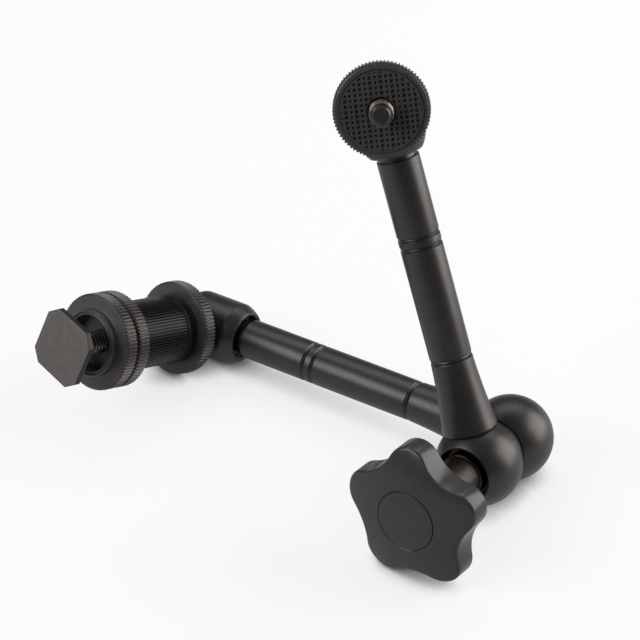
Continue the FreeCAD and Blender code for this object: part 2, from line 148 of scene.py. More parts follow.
# Studs and discs
STUD_R = 3.175
STUD_BORE = 3.22
STUD_START = 6.0
STUD_NECK_R = 3.0
STUD_PLAIN = 0.2            # stretch before the thread
STUD_TIP = 20.0
STUD_TIP_R = 2.05
STUD_ROOT_R = 2.55
STUD_INNER_R = 1.2
TIP_BEVEL = 0.5
TIP_STEP = 0.6
TIP_SLOPE = 2.0
PITCH = 1.27
THREAD = 0.62
THREAD_FLANK = 2.2
THREAD_STEPS = 16
THREAD_SIDES = 96
DISC_BACK = 10.4
DISC_T = 4.0
DISC_A_R = 12.69
DISC_B_R = 13.6
TEETH = 80
TOOTH = 0.44
TOOTH_STEPS = 8
TOOTH_BEVEL = 0.16
TOOTH_BEVEL_CUT = 0.6       # share of the groove's depth at the tooth's bevel
TOOTH_RISE = 0.22
TOOTH_CREST = 0.28          # share of the tooth's pitch
TOOTH_FLANK = 0.34
CHAMFER = 0.22
RUBBER_SET = 0.5
RUBBER_T = 1.0
RUBBER_BORE = 3.9
RUBBER_GAP = 0.08
RUBBER_A_R = 10.8
RUBBER_B_R = 9.7
RUBBER_RIM = 0.35
RIM_FLANK = 0.2
BORE_FLANK = 0.15
PAD_RINGS = 150
PAD_TURNS = 512
PAD_TILT = math.radians(-8)
WAFFLE = 1.39
PIT = 0.42
PIT_HALF = 0.33             # shares of the pits' spacing
PIT_FLANK = 0.17
PIT_UNEVEN = 0.05
PIT_MIX_U = 12.9            # scatter the pits' widths
PIT_MIX_V = 78.2

# Shoe adapter
BARREL_START = 15.0
BARREL_END = 37.6
BARREL_R = 9.95
FLANGE_R = 9.6
FLANGE = 2.4
FLANGE_BEVEL = 0.3
FLANGE_LINE = 1.2
FLANGE_LINE_HALF = 0.25
FLANGE_STEP = 0.4
RIDGES = 72
RIDGE = 0.5
RIDGE_STEPS = 12
RIDGE_CREST = 0.6           # share of the ridge's pitch
RIDGE_FLANK = 0.22
RIDGE_CORE = 0.1            # how far the barrel's plain core lies under the grooves
RIDGE_SINK = 0.5
RIDGE_START = 0.05
RIDGE_START_CUT = 0.15      # share of the groove's depth where the ridges start
RIDGE_RUN = 0.55
WHEEL_R = 13.8
WHEEL_T = 4.0
WHEEL_GAP = 0.8
BOSS_R = 9.7
BOSS = 2.3
BOSS_BEVEL = 0.3
RING_IN_R = 8.5
RING_T = 0.5
RING_ROOT = 0.3
RING_ROOT_DEEP = 0.45
RING_DEEP = 0.25
DISH_R = 8.1
DISH = 4.6
DISH_SLOPE = 0.4
SHOE_SIDE = 18.5
SHOE_CORNERS = 8
SHOE_CUT = 3.2
SHOE_T = 2.0
SHOE_FACE = 59.0
SHOE_EASE = 0.28
SHOE_BORE = 4.0
SHOE_TURN = math.radians(-16.0)
SPINDLE_SINK = 1.0
SPINDLE_START = 0.1
SPINDLE_STEPS = 12
SPINDLE_PLAIN = 0.3
POST_R = 5.0
POST = 2.6
POST_BEVEL = 0.2
POST_SINK = 0.1

# Studio; its lamps by place, aim, size in metres, watts and colour
WORLD_LIGHT = 0.13
WORLD_COLOUR = (0.98, 0.985, 1.0, 1)
FLOOR_SIDE = 6.0
FLOOR_TINT = (0.20, 0.20, 0.202, 1)
FLOOR_COLOUR = (1.0, 0.994, 1.012, 1)
FLOOR_GLOW = 0.79
FLOOR_GLOSS = 0.50
# Painted contact shadow on the floor: the reach of its occlusion in metres, and the occlusion over
# which it fades in.
CONTACT_SHADE = 0.0095
CONTACT_OPEN = (0.15, 0.7)
LAMPS = {"left_window": ((-0.80, -0.34, 0.64), (0, 0, 0.05), (0.7, 0.6), 6.5, (1, 1, 1)),
         "right_window": ((0.90, 0.14, 0.40), (0, 0, 0.06), (0.85, 0.85), 9.5, (1.0, 0.97, 0.94)),
         "top_window": ((0.0, 0.55, 0.85), (0, 0, 0), (1.1, 0.5), 3.0, (1, 1, 1))}
CAMERA_SENSOR = 36.0
CAMERA_LENS = 150.97
CAMERA_CLIP = (0.01, 20)
CAMERA_DOWN = math.radians(36.21)
CAMERA_OFFSET = Vector((-0.04331, -0.56636, 0.46262))


def joint_axis(name):
    return Vector(JOINTS[name]["axis"]).normalized()


def joint_place(name):
    return Vector(JOINTS[name]["pos_m"])


def around(axis, start, angle):
    """Start, square to the axis, turned about it."""
    return start * math.cos(angle) + axis.cross(start) * math.sin(angle)


def local(origin, z, x):
    """Matrix from millimetres in a frame with that Z, and X near x, to the scene's metres."""
    y = z.cross(x).normalized()
    m = Matrix((y.cross(z), y, z)).transposed().to_4x4()
    m.translation = origin
    return m @ Matrix.Scale(MM, 4)


KNOB = joint_axis("elbow")
MIDDLE = joint_place("elbow")
HUB_A = joint_place("knob_turn")
HUB_B = MIDDLE * 2 - HUB_A
BALL_A, BALL_B = joint_place("cup_a_swivel"), joint_place("cup_b_swivel")
ARM_A, ARM_B = joint_axis("cup_a_swivel"), joint_axis("cup_b_swivel")
STUD_A, STUD_B = joint_axis("stud_a_turn"), joint_axis("stud_b_turn")
NOTCH_A = joint_axis("ball_a_tilt").cross(ARM_A)
NOTCH_B = joint_axis("ball_b_tilt").cross(ARM_B)
UP = (Vector((0, 0, 1)) - KNOB * KNOB.z).normalized()

AT_HUB_A = local(HUB_A, KNOB, ARM_A)
AT_HUB_B = local(HUB_B, KNOB, ARM_B)
AT_KNOB = local(HUB_A, KNOB, around(KNOB, UP, LOBE_FIRST))
AT_ARM = {"a": local(HUB_A, ARM_A, NOTCH_A), "b": local(HUB_B, ARM_B, NOTCH_B)}
AT_CUP = {"a": local(BALL_A, ARM_A, NOTCH_A), "b": local(BALL_B, ARM_B, NOTCH_B)}
AT_STUD = {"a": local(BALL_A, STUD_A, ARM_A), "b": local(BALL_B, STUD_B, ARM_B)}


# Nodes of the materials; a node's output is written as a (node, socket) pair

NOISE_SPAN = (0.25, 0.75)   # where most of a noise's values lie
MIX_A = 6                   # colour sockets of the mix node
MIX_B = 7
MIX_OUT = 2


def nodes_of(name):
    m = bpy.data.materials.new(name)
    m.use_nodes = True
    tree = m.node_tree
    return m, tree, tree.nodes["Principled BSDF"]


def feed(tree, node, inputs):
    """Sets each input to its value, or joins it to another node's output."""
    for socket, value in inputs.items():
        if isinstance(value, tuple) and isinstance(value[0], bpy.types.Node):
            tree.links.new(value[0].outputs[value[1]], node.inputs[socket])
        else:
            node.inputs[socket].default_value = value


def add_node(tree, kind, inputs, **settings):
    node = tree.nodes.new(kind)
    for name, value in settings.items():
        setattr(node, name, value)
    feed(tree, node, inputs)
    return node


def place_node(tree, scale):
    """Coordinates in millimetres of the piece's own frame, times a scale."""
    here = add_node(tree, "ShaderNodeAttribute", {}, attribute_name="place")
    inputs = {0: (here, "Vector"), 1: scale}
    return add_node(tree, "ShaderNodeVectorMath", inputs, operation="MULTIPLY"), 0


def radius_node(tree):
    """Distance from the piece's own axis."""
    inputs = {0: place_node(tree, (1, 1, 0))}
    return add_node(tree, "ShaderNodeVectorMath", inputs, operation="LENGTH"), "Value"


def height_node(tree):
    """Height along the piece's own axis."""
    return add_node(tree, "ShaderNodeSeparateXYZ", {0: place_node(tree, (1, 1, 1))}), "Z"


def noise_node(tree, scale, detail=3.0, roughness=0.55):
    inputs = {"Vector": place_node(tree, scale), "Scale": 1.0, "Detail": detail,
              "Roughness": roughness}
    return add_node(tree, "ShaderNodeTexNoise", inputs), "Fac"


def ramp_node(tree, source, stops):
    """Colours between stops of (value, colour)."""
    ramp = add_node(tree, "ShaderNodeValToRGB", {"Fac": source})
    elements = ramp.color_ramp.elements
    while len(elements) < len(stops):
        elements.new(0.5)
    for element, (at, colour) in zip(elements, stops):
        element.position = at
        element.color = (*colour, 1)
    return ramp, "Color"


def range_node(tree, source, take, give=(0.0, 1.0), **settings):
    """Spreads the values between the two in take over those in give."""
    inputs = {"Value": source, "From Min": take[0], "From Max": take[1], "To Min": give[0],
              "To Max": give[1]}
    return add_node(tree, "ShaderNodeMapRange", inputs, **settings), "Result"


def mix_node(tree, factor, low, high):
    """Colour that goes from low to high as the factor rises."""
    inputs = {"Factor": factor, MIX_A: low, MIX_B: high}
    return add_node(tree, "ShaderNodeMix", inputs, data_type="RGBA"), MIX_OUT


def maths_node(tree, operation, *terms):
    return add_node(tree, "ShaderNodeMath", dict(enumerate(terms)), operation=operation), 0


def bump_node(tree, source, depth_mm, normal=None):
    inputs = {"Strength": 1.0, "Distance": depth_mm * MM, "Height": source}
    if normal:
        inputs["Normal"] = normal
    return add_node(tree, "ShaderNodeBump", inputs), "Normal"


# Materials

# Rim colours from the teeth's root to their crest: grooves darkened near black as painted shade,
# crests worn lighter.
GROOVE_SHADE_AND_WORN_CRESTS = [(0.0, (0.002, 0.002, 0.002)), (0.6, (0.008, 0.0074, 0.007)),
             (0.95, (0.075, 0.069, 0.065))]
GROOVE_SHADE_BLEND = (0.06, 0.02)      # where the face ends, in mm inside the teeth's root
# Thread colours from root to crest: darker roots as painted shade, bright crests as wear and painted
# highlight.
THREAD_ROOT_SHADE_CREST_WEAR_AND_HIGHLIGHT = [(0.0, (0.05, 0.048, 0.046)), (0.3, (0.012, 0.011, 0.010)),
               (0.7, (0.05, 0.045, 0.04)), (0.95, (0.34, 0.30, 0.26))]
WORN_SHADE = 0.85
DUSTY_RIBS = [(0.35, (0.027, 0.025, 0.025)), (0.58, (0.056, 0.052, 0.051)),
              (0.72, (0.15, 0.142, 0.138))]
# Near-black colour of the pad's pits, painted shade, and how far below the ribs' top it blends in.
PIT_PAINTED_SHADE = (0.002, 0.002, 0.002, 1)
PIT_SHADE_BLEND = 0.1
OXIDE = [(0.3, (0.118, 0.107, 0.102)), (0.7, (0.152, 0.139, 0.132))]
SPECK_MASK = [(0.73, (0, 0, 0)), (0.78, (1, 1, 1))]
SPECK_COLOUR = (0.26, 0.24, 0.22, 1)
PLATE_SIDE = (0.018, 0.0165, 0.016, 1)
PLATE_BLEND = (0.22, 0.02)


def anodised(name, dark, light, rough, ior=1.6):
    """Blasted and black-anodised aluminium with faint turning marks."""
    m, tree, shader = nodes_of(name)
    cloud = noise_node(tree, (0.35, 0.35, 0.35), detail=4.0)
    patch = noise_node(tree, (1.7, 1.7, 1.7))
    grain = noise_node(tree, (14, 14, 14), detail=2.0, roughness=0.7)
    turning = noise_node(tree, (0.4, 0.4, 26), detail=2.0, roughness=0.8)
    grit = bump_node(tree, grain, depth_mm=0.004)
    feed(tree, shader, {"IOR": ior, "Specular Tint": (1.0, 0.955, 0.93, 1.0),
                        "Base Color": ramp_node(tree, cloud, [(0.3, dark), (0.7, light)]),
                        "Roughness": range_node(tree, patch, NOISE_SPAN, rough),
                        "Normal": bump_node(tree, turning, depth_mm=0.0012, normal=grit)})
    return m


def faced(name, dark, light, rough, rim):
    """Anodised disc: rings of a facing cut; on the rim, grooves darkened as painted shade and crests
    worn lighter.
    """
    m, tree, shader = nodes_of(name)
    reach = radius_node(tree)
    rings = add_node(tree, "ShaderNodeTexNoise", {"W": reach, "Scale": 9.0, "Detail": 3.0},
                     noise_dimensions="1D"), "Fac"
    cloud = noise_node(tree, (0.5, 0.5, 0.5), detail=4.0)
    face = ramp_node(tree, cloud, [(0.3, dark), (0.7, light)])
    root = rim - TOOTH
    # Colour of the rim by radius: painted shade in the grooves, wear on the crests.
    teeth = ramp_node(tree, range_node(tree, reach, (root, rim)), GROOVE_SHADE_AND_WORN_CRESTS)
    outside = range_node(tree, reach, [root - inside for inside in GROOVE_SHADE_BLEND])
    grain = noise_node(tree, (14, 14, 14), detail=2.0, roughness=0.7)
    grit = bump_node(tree, grain, depth_mm=0.003)
    feed(tree, shader, {"IOR": 1.6, "Specular Tint": (1.0, 0.95, 0.92, 1.0),
                        "Base Color": mix_node(tree, outside, face, teeth),
                        "Roughness": range_node(tree, rings, NOISE_SPAN, rough),
                        "Normal": bump_node(tree, rings, depth_mm=0.004, normal=grit)})
    return m


def moulded(name, dark, light, rough):
    """Moulded plastic with a fine spark-eroded grain."""
    m, tree, shader = nodes_of(name)
    cloud = noise_node(tree, (0.12, 0.12, 0.12))
    patch = noise_node(tree, (0.6, 0.6, 0.6), detail=4.0)
    grain = noise_node(tree, (7, 7, 7), roughness=0.6)
    feed(tree, shader, {"IOR": 1.4,
                        "Base Color": ramp_node(tree, cloud, [(0.3, dark), (0.7, light)]),
                        "Roughness": range_node(tree, patch, NOISE_SPAN, rough),
                        "Normal": bump_node(tree, grain, depth_mm=0.006)})
    return m


def threaded_steel(name):
    """Blackened thread: its roots darkened as painted shade, its crests worn bright and lightened
    further as a painted highlight.
    """
    m, tree, shader = nodes_of(name)
    # Colour by depth in the thread: painted shade in the roots, wear and painted highlight on the
    # crests.
    depth = range_node(tree, radius_node(tree), (STUD_R - THREAD, STUD_R))
    patch = noise_node(tree, (2.5, 2.5, 2.5))
    feed(tree, shader, {"Metallic": 0.6,
                        "Base Color": ramp_node(tree, depth, THREAD_ROOT_SHADE_CREST_WEAR_AND_HIGHLIGHT),
                        "Roughness": range_node(tree, patch, NOISE_SPAN, (0.26, 0.42)),
                        "Normal": bump_node(tree, patch, depth_mm=0.01)})
    return m


def metal(name, colour, rough, grain_mm=0.003):
    """Turned bare metal."""
    m, tree, shader = nodes_of(name)
    cloud = noise_node(tree, (0.8, 0.8, 0.8))
    worn = tuple(c * WORN_SHADE for c in colour)
    patch = noise_node(tree, (0.6, 0.6, 18))
    feed(tree, shader, {"Metallic": 1.0,
                        "Base Color": ramp_node(tree, cloud, [(0.35, worn), (0.65, colour)]),
                        "Roughness": range_node(tree, patch, NOISE_SPAN, rough),
                        "Normal": bump_node(tree, patch, grain_mm)})
    return m


def pad_rubber(name):
    """Moulded rubber: dusty ribs, and pits darkened to near black as painted shade."""
    m, tree, shader = nodes_of(name)
    speck = noise_node(tree, (5.5, 5.5, 5.5), detail=4.0, roughness=0.75)
    ribs = ramp_node(tree, speck, DUSTY_RIBS)
    top = DISC_BACK + DISC_T - RUBBER_SET + RUBBER_T
    # Below the ribs' top the colour sinks to near black: painted shade in the pits.
    rise = range_node(tree, height_node(tree), (top - PIT, top - PIT_SHADE_BLEND))
    feed(tree, shader, {"IOR": 1.45,
                        "Base Color": mix_node(tree, rise, PIT_PAINTED_SHADE, ribs),
                        "Roughness": range_node(tree, speck, NOISE_SPAN, (0.38, 0.62)),
                        "Normal": bump_node(tree, speck, depth_mm=0.03)})
    return m


def plate_steel(name):
    """Ground face under a thin oxide, with small bright specks; its sides stay darker."""
    m, tree, shader = nodes_of(name)
    cloud = noise_node(tree, (0.6, 0.6, 0.6), detail=5.0, roughness=0.6)
    speck = noise_node(tree, (6, 6, 6), detail=2.0, roughness=0.6)
    spots = ramp_node(tree, speck, SPECK_MASK)
    face = mix_node(tree, spots, ramp_node(tree, cloud, OXIDE), SPECK_COLOUR)
    rise = range_node(tree, height_node(tree), [SHOE_FACE - below for below in PLATE_BLEND])
    grain = noise_node(tree, (9, 9, 9), roughness=0.7)
    feed(tree, shader, {"Metallic": 0.35,
                        "Base Color": mix_node(tree, rise, PLATE_SIDE, face),
                        "Roughness": range_node(tree, cloud, NOISE_SPAN, (0.42, 0.52)),
                        "Normal": bump_node(tree, grain, depth_mm=0.006)})
    return m


BLACK = anodised("black_anodised", (0.010, 0.0095, 0.0095), (0.016, 0.0148, 0.014), (0.35, 0.42))
# A darker copy of the anodised finish for the barrel: painted shade on its ridges.
RIDGED_IN_PAINTED_SHADE = anodised("ridged_anodised_shaded", (0.004, 0.0038, 0.0036), (0.007, 0.0065, 0.0062),
                  (0.33, 0.40), ior=1.3)
PLASTIC = moulded("moulded_knob", (0.042, 0.0415, 0.044), (0.052, 0.051, 0.054), (0.19, 0.26))
THREADED = threaded_steel("threaded_steel")
STEEL = metal("bright_steel", (0.50, 0.49, 0.48), (0.19, 0.32))
BRONZE = metal("bronze", (0.12, 0.08, 0.045), (0.37, 0.50))
NECK = metal("dark_neck", (0.045, 0.038, 0.033), (0.33, 0.46), grain_mm=0.006)
RUBBER = pad_rubber("pad_rubber")
PLATE = plate_steel("plate_steel")
ACETAL = moulded("acetal", (0.030, 0.030, 0.029), (0.040, 0.040, 0.038), (0.39, 0.46))

FACES = {}
for key, radius in (("a", DISC_A_R), ("b", DISC_B_R), ("wheel", WHEEL_R)):
    FACES[key] = faced("faced_anodised_" + key, (0.042, 0.039, 0.037), (0.064, 0.060, 0.057),
                       (0.37, 0.45), radius)


# Mesh building

SHARP = 32.0                # degrees between faces that meet in a sharp edge
WELD = 1e-7
NEAR_AXIS = 1e-6
STRAIGHT = math.radians(172)
LEAST_TURN = 0.05
SIDE_SHARE = 0.45


def piece(name, mesh_data, at, body, stands_for, material, sharp=SHARP):
    """An object from (vertices in mm, faces), placed, shaded and riding on its body."""
    points, faces = mesh_data
    mesh = bpy.data.meshes.new(name)
    mesh.from_pydata([at @ Vector(p) for p in points], [], faces)
    mesh.validate()
    keep = mesh.attributes.new("place", "FLOAT_VECTOR", "POINT")
    keep.data.foreach_set("vector", [c for p in points for c in p])
    edit = bmesh.new()
    edit.from_mesh(mesh)
    bmesh.ops.remove_doubles(edit, verts=edit.verts, dist=WELD)
    bmesh.ops.recalc_face_normals(edit, faces=edit.faces)
    edit.to_mesh(mesh)
    edit.free()
    mesh.polygons.foreach_set("use_smooth", [True] * len(mesh.polygons))
    mesh.set_sharp_from_angle(angle=math.radians(sharp))
    mesh.materials.append(material)
    obj = bpy.data.objects.new(name, mesh)
    bpy.context.scene.collection.objects.link(obj)
    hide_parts(*stands_for)
    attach(obj, body)
    return obj


def soften(outline, radius=EDGE, steps=3):
    """Closed outline with its corners rounded. A corner is (r, z), or (r, z, weight, rounding);
    one that is on the axis, almost straight or has rounding 0 stays."""
    out = []
    for i, corner in enumerate(outline):
        here = Vector(corner[:2])
        weight, keep = corner[2:] or (0.0, radius)
        before = Vector(outline[i - 1][:2]) - here
        after = Vector(outline[(i + 1) % len(outline)][:2]) - here
        stays = keep == 0 or here.x < NEAR_AXIS or not before.length or not after.length
        if stays or before.angle(after) > STRAIGHT:
            out.append((here.x, here.y, weight))
            continue
        ideal = keep / max(math.tan(before.angle(after) / 2), LEAST_TURN)
        cut = min(ideal, SIDE_SHARE * before.length, SIDE_SHARE * after.length)
        a = here + before.normalized() * cut
        b = here + after.normalized() * cut
        for k in range(steps + 1):
            t = k / steps
            p = a * (1 - t) ** 2 + here * 2 * t * (1 - t) + b * t * t
            out.append((p.x, p.y, weight))
    return out


def plain(points):
    """Corners that soften leaves as they are."""
    return [(r, z, 0, 0) for r, z in points]


def arc(start, middle, end, steps):
    """Points of the circle through three points, from just after start to end."""
    (ax, ay), (bx, by), (cx, cy) = start, middle, end
    d = 2 * (ax * (by - cy) + bx * (cy - ay) + cx * (ay - by))
    sa, sb, sc = ax * ax + ay * ay, bx * bx + by * by, cx * cx + cy * cy
    ox = (sa * (by - cy) + sb * (cy - ay) + sc * (ay - by)) / d
    oy = (sa * (cx - bx) + sb * (ax - cx) + sc * (bx - ax)) / d
    r = math.hypot(ax - ox, ay - oy)
    angles = [math.atan2(y - oy, x - ox) for x, y in (start, middle, end)]
    for i in (1, 2):
        while angles[i] - angles[i - 1] > math.pi:
            angles[i] -= TAU
        while angles[i] - angles[i - 1] < -math.pi:
            angles[i] += TAU
    first, _, last = angles
    turns = [first + (last - first) * k / steps for k in range(1, steps + 1)]
    return [(ox + r * math.cos(a), oy + r * math.sin(a)) for a in turns]


def quarter(radius, steps):
    """Inset and rise of a quarter round, from where it leaves the flat to the upright."""
    angles = [math.pi / 2 * k / steps for k in range(steps + 1)]
    return [(radius * (1 - math.sin(a)), radius * (1 - math.cos(a))) for a in angles]


def belt(i, k, n):
    """Faces between the rings i and k of n points each."""
    return [(i * n + j, i * n + (j + 1) % n, k * n + (j + 1) % n, k * n + j) for j in range(n)]


def joined(rows):
    """Vertices and faces of a closed run of rings."""
    faces = []
    for i in range(len(rows)):
        faces += belt(i, (i + 1) % len(rows), len(rows[0]))
    return [p for row in rows for p in row], faces


def turned(outline, segments=128, shape=None):
    """Vertices and faces of an outline turned about Z; shape(r, z, weight, angle) may move
    a point in or out."""
    points, faces = [], []
    for r, z, weight in outline:
        for j in range(segments):
            a = TAU * j / segments
            reach = shape(r, z, weight, a) if shape and r > 0 else r
            points.append((reach * math.cos(a), reach * math.sin(a), z))
    for i in range(len(outline)):
        k = (i + 1) % len(outline)
        if outline[i][0] != 0 or outline[k][0] != 0:
            faces += belt(i, k, segments)
    return points, faces


def unit(value):
    """The value, held between 0 and 1."""
    return min(max(value, 0.0), 1.0)


def toothed(count, depth, crest, flank):
    """Flat-topped teeth between narrow grooves, cut where the weight is 1."""
    def shape(r, z, weight, angle):
        phase = (angle * count / TAU) % 1.0
        rise = (abs(phase - 0.5) * 2 - (1 - crest - flank)) / flank
        return r - depth * weight * (1 - unit(rise))
    return shape


def notched(obj, at, high):
    """Cuts the cup's notch: a slot that ends in a round."""
    angles = [math.pi + math.pi * k / NOTCH_STEPS for k in range(NOTCH_STEPS + 1)]
    side = [(NOTCH_HALF * math.cos(a), NOTCH_HALF * math.sin(a)) for a in angles]
    side += [(NOTCH_HALF, high), (-NOTCH_HALF, high)]
    n = len(side)
    points = [(x, y, z) for x in (0.0, 2 * CUP_R) for y, z in side]
    faces = [tuple(range(n)), tuple(reversed(range(n, 2 * n))), *belt(0, 1, n)]
    mesh = bpy.data.meshes.new("notch")
    mesh.from_pydata([at @ Vector(p) for p in points], [], faces)
    edit = bmesh.new()
    edit.from_mesh(mesh)
    bmesh.ops.recalc_face_normals(edit, faces=edit.faces)
    edit.to_mesh(mesh)
    edit.free()
    tool = bpy.data.objects.new("notch", mesh)
    bpy.context.scene.collection.objects.link(tool)
    cut = obj.modifiers.new("notch", "BOOLEAN")
    cut.object = tool
    cut.operation = "DIFFERENCE"
    cut.solver = "EXACT"
    graph = bpy.context.evaluated_depsgraph_get()
    carved = bpy.data.meshes.new_from_object(obj.evaluated_get(graph))
    obj.modifiers.clear()
    obj.data = carved
    bpy.data.objects.remove(tool)
    obj.data.set_sharp_from_angle(angle=math.radians(SHARP))


# Hubs

def ball_side(z):
    """Radius of the hub's ball at a height."""
    return math.sqrt(HUB_R ** 2 - z ** 2)


def hub_front():
    low = HUB_GAP - HUB_OFFSET
    inner, face = ball_side(low), ball_side(HUB_FACE)
    ball = arc((inner, low), (HUB_R, 0), (face, HUB_FACE), steps=40)
    corners = [(CONE_BORE, low), (inner, low, 0, EASED), *plain(ball[:-1]),
               (face, HUB_FACE, 0, EASED), (RECESS_R, HUB_FACE, 0, EASED),
               (RECESS_R, RECESS_FLOOR), (CONE_BORE, RECESS_FLOOR, 0, SOFT)]
    return turned(soften(corners), segments=144)


def hub_rear():
    high = HUB_OFFSET - HUB_GAP
    inner, face = ball_side(high), ball_side(HUB_BACK)
    ball = arc((face, -HUB_BACK), (HUB_R, 0), (inner, high), steps=44)
    corners = [(0, -HUB_BACK), (face, -HUB_BACK, 0, BLUNT), *plain(ball[:-1]),
               (inner, high, 0, EASED), (CONE_BORE, high), (CONE_BORE, CONE_FLOOR), (0, CONE_FLOOR)]
    return turned(soften(corners), segments=144)


piece("hub_front", hub_front(), AT_HUB_A, "front_hub", ["front_hub"], BLACK)
piece("hub_rear", hub_rear(), AT_HUB_B, "rear_hub", ["rear_hub"], BLACK)


# Star knob

def star(inset):
    """Outline of the lobes, moved inwards by the inset: arcs about the same centres."""
    half = math.pi / LOBES
    near = LOBE_CENTRE * math.cos(half)
    hollow = ((LOBE_CENTRE ** 2 + VALLEY ** 2 - 2 * near * VALLEY - LOBE_R ** 2)
              / (2 * (LOBE_R + near - VALLEY)))
    far = VALLEY + hollow
    join = Vector((far * math.cos(half) - LOBE_CENTRE, far * math.sin(half)))
    sweep = math.atan2(join.y, join.x)
    turn = sweep - half
    points = []
    for i in range(LOBES):
        base = 2 * half * i
        lobe = Vector((LOBE_CENTRE * math.cos(base), LOBE_CENTRE * math.sin(base)))
        valley = Vector((far * math.cos(base + half), far * math.sin(base + half)))
        arcs = [(lobe, LOBE_R - inset, base - sweep, 2 * sweep),
                (valley, hollow + inset, base + half + math.pi + turn, -2 * turn)]
        for centre, reach, start, swing in arcs:
            for j in range(LOBE_STEPS):
                a = start + swing * j / LOBE_STEPS
                points.append((centre.x + reach * math.cos(a), centre.y + reach * math.sin(a)))
    return points


def crown(r):
    """Height of the knob's crowned face at a radius."""
    return KNOB_CREST - CROWN_R + math.sqrt(CROWN_R ** 2 - r * r)


def knob_mesh():
    """Rows from the back boss, round the lobes and over the crown to the cap's seat."""
    angles = [math.atan2(y, x) for x, y in star(0)]
    rows = []

    def circle(r):
        return [(r * math.cos(a), r * math.sin(a)) for a in angles]

    def flat_row(ring, z):
        rows.append([(x, y, z) for x, y in ring])

    def crown_row(ring, drop):
        rows.append([(x, y, crown(math.hypot(x, y)) - drop) for x, y in ring])

    def blend_ring(a, b, t):
        return [(p[0] * (1 - t) + q[0] * t, p[1] * (1 - t) + q[1] * t) for p, q in zip(a, b)]

    flat_row(circle(SCREW_HOLE_R), NECK_END)
    for r, z in KNOB_BOSS:
        flat_row(circle(r), z)
    rim = star(KNOB_ROUND)
    for t in (0.25, 0.5, 0.75):
        flat_row(blend_ring(circle(KNOB_BOSS[-1][0]), rim, t), KNOB_BACK)
    for inset, rise in quarter(KNOB_ROUND, steps=6):
        flat_row(star(inset), KNOB_BACK + rise)
    for drop, inset in quarter(KNOB_ROUND, steps=6):
        crown_row(star(inset), drop)
    seat = CAP_R + CAP_GAP
    for t in (0.2, 0.4, 0.6, 0.8, 1.0):
        crown_row(blend_ring(rim, circle(seat + EDGE), t), 0)
    crown_row(circle(seat), EDGE)
    flat_row(circle(seat), KNOB_CREST - CAP_T)
    flat_row(circle(KNOB_BORE_R), KNOB_CREST - CAP_T)
    flat_row(circle(KNOB_BORE_R), NECK_END + SCREW_HOLE)
    flat_row(circle(SCREW_HOLE_R), NECK_END + SCREW_HOLE)
    return joined(rows)


def cap_mesh():
    """Cap with an eased edge; its top follows the knob's crown."""
    low = KNOB_CREST - CAP_T + CAP_LIFT
    reach = [CAP_R * k / CAP_STEPS for k in reversed(range(CAP_STEPS))]
    corners = [(0, low), (CAP_R, low), (CAP_R, crown(CAP_R), 0, CAP_EDGE)]
    corners += plain([(r, crown(r)) for r in reach])
    return turned(soften(corners))


def neck_mesh():
    """Neck of the screw, with the steps seen in the recess."""
    low, high, deep = NECK_START, NECK_END, NECK_LINE_DEEP
    line = low + NECK_LINE
    end = line + NECK_LINE_T
    corners = [(0, low), (NECK_R - NECK_BEVEL, low), (NECK_R, low + NECK_BEVEL),
               (NECK_R, line, 0, SOFT), (NECK_R - deep, line + deep, 0, SOFT),
               (NECK_R - deep, end, 0, SOFT), (NECK_R, end + deep, 0, SOFT),
               (NECK_R, high), (0, high)]
    return turned(soften(corners, EASED))


piece("knob_star", knob_mesh(), AT_KNOB, "knob", ["knob_body"], PLASTIC, sharp=40.0)
piece("knob_cover", cap_mesh(), AT_KNOB, "knob", ["knob_cap"], PLASTIC, sharp=40.0)
piece("knob_neck", neck_mesh(), AT_KNOB, "knob", ["clamp_screw"], NECK)


# Arms and cups

def turned_line(line, at):
    """Corners of a line turned into the tube at a height."""
    return [(TUBE_R - depth, at + rise, 0, ease) for depth, rise, ease in line]


def collar_mesh():
    top, foot = COLLAR_END - GROOVE, ARM_SEAT + COLLAR_FOOT
    flare = arc((TUBE_R, top), (COLLAR_MID_R, COLLAR_MID), (COLLAR_FOOT_R, foot), steps=16)
    corners = [(ROD_BORE, ARM_SEAT), (ROD_BORE, COLLAR_END), (TUBE_R - GROOVE, COLLAR_END, 0, TIGHT),
               (TUBE_R, top), *plain(flare[:-1]), (COLLAR_FOOT_R, foot, 0, SOFT),
               (COLLAR_FOOT_R - COLLAR_BEVEL, ARM_SEAT, 0, EASED)]
    return turned(soften(corners))


def tube_mesh():
    high, neck = REACH - TUBE_END, REACH - NOSE_TIP - NECK_SHOW
    corners = [(ROD_BORE, COLLAR_END), (ROD_BORE, high), (TUBE_NECK_R, high),
               (TUBE_NECK_R, neck), (TUBE_R, neck, 0, EASED)]
    corners += turned_line(BAND_LINE, BAND_HIGH)
    corners += turned_line(BAND_LINE, BAND_LOW)
    corners += turned_line(COLLAR_LINE, COLLAR_END)
    return turned(soften(corners))


def nose_mesh():
    """Nut at the tube side of the cup: a gentle taper that ends in an eased bore."""
    low, seam = NOSE_BEVEL - NOSE_TIP, -CUP_SEAM
    middle = ((NOSE_TIP_R + CUP_R) / 2 + NOSE_BULGE, (low + seam) / 2)
    taper = arc((NOSE_TIP_R, low), middle, (CUP_R, seam), steps=10)
    corners = [(NOSE_BORE, NOSE_EDGE - NOSE_TIP, 0, EASED),
               (NOSE_BORE + NOSE_EDGE, -NOSE_TIP, 0, EASED), (NOSE_TIP_R - NOSE_BEVEL, -NOSE_TIP),
               *plain(taper), (RING_BORE, seam), (RING_BORE, NOSE_LIP - NOSE_TIP),
               (NOSE_BORE, NOSE_LIP - NOSE_TIP)]
    return turned(soften(corners), segments=144)


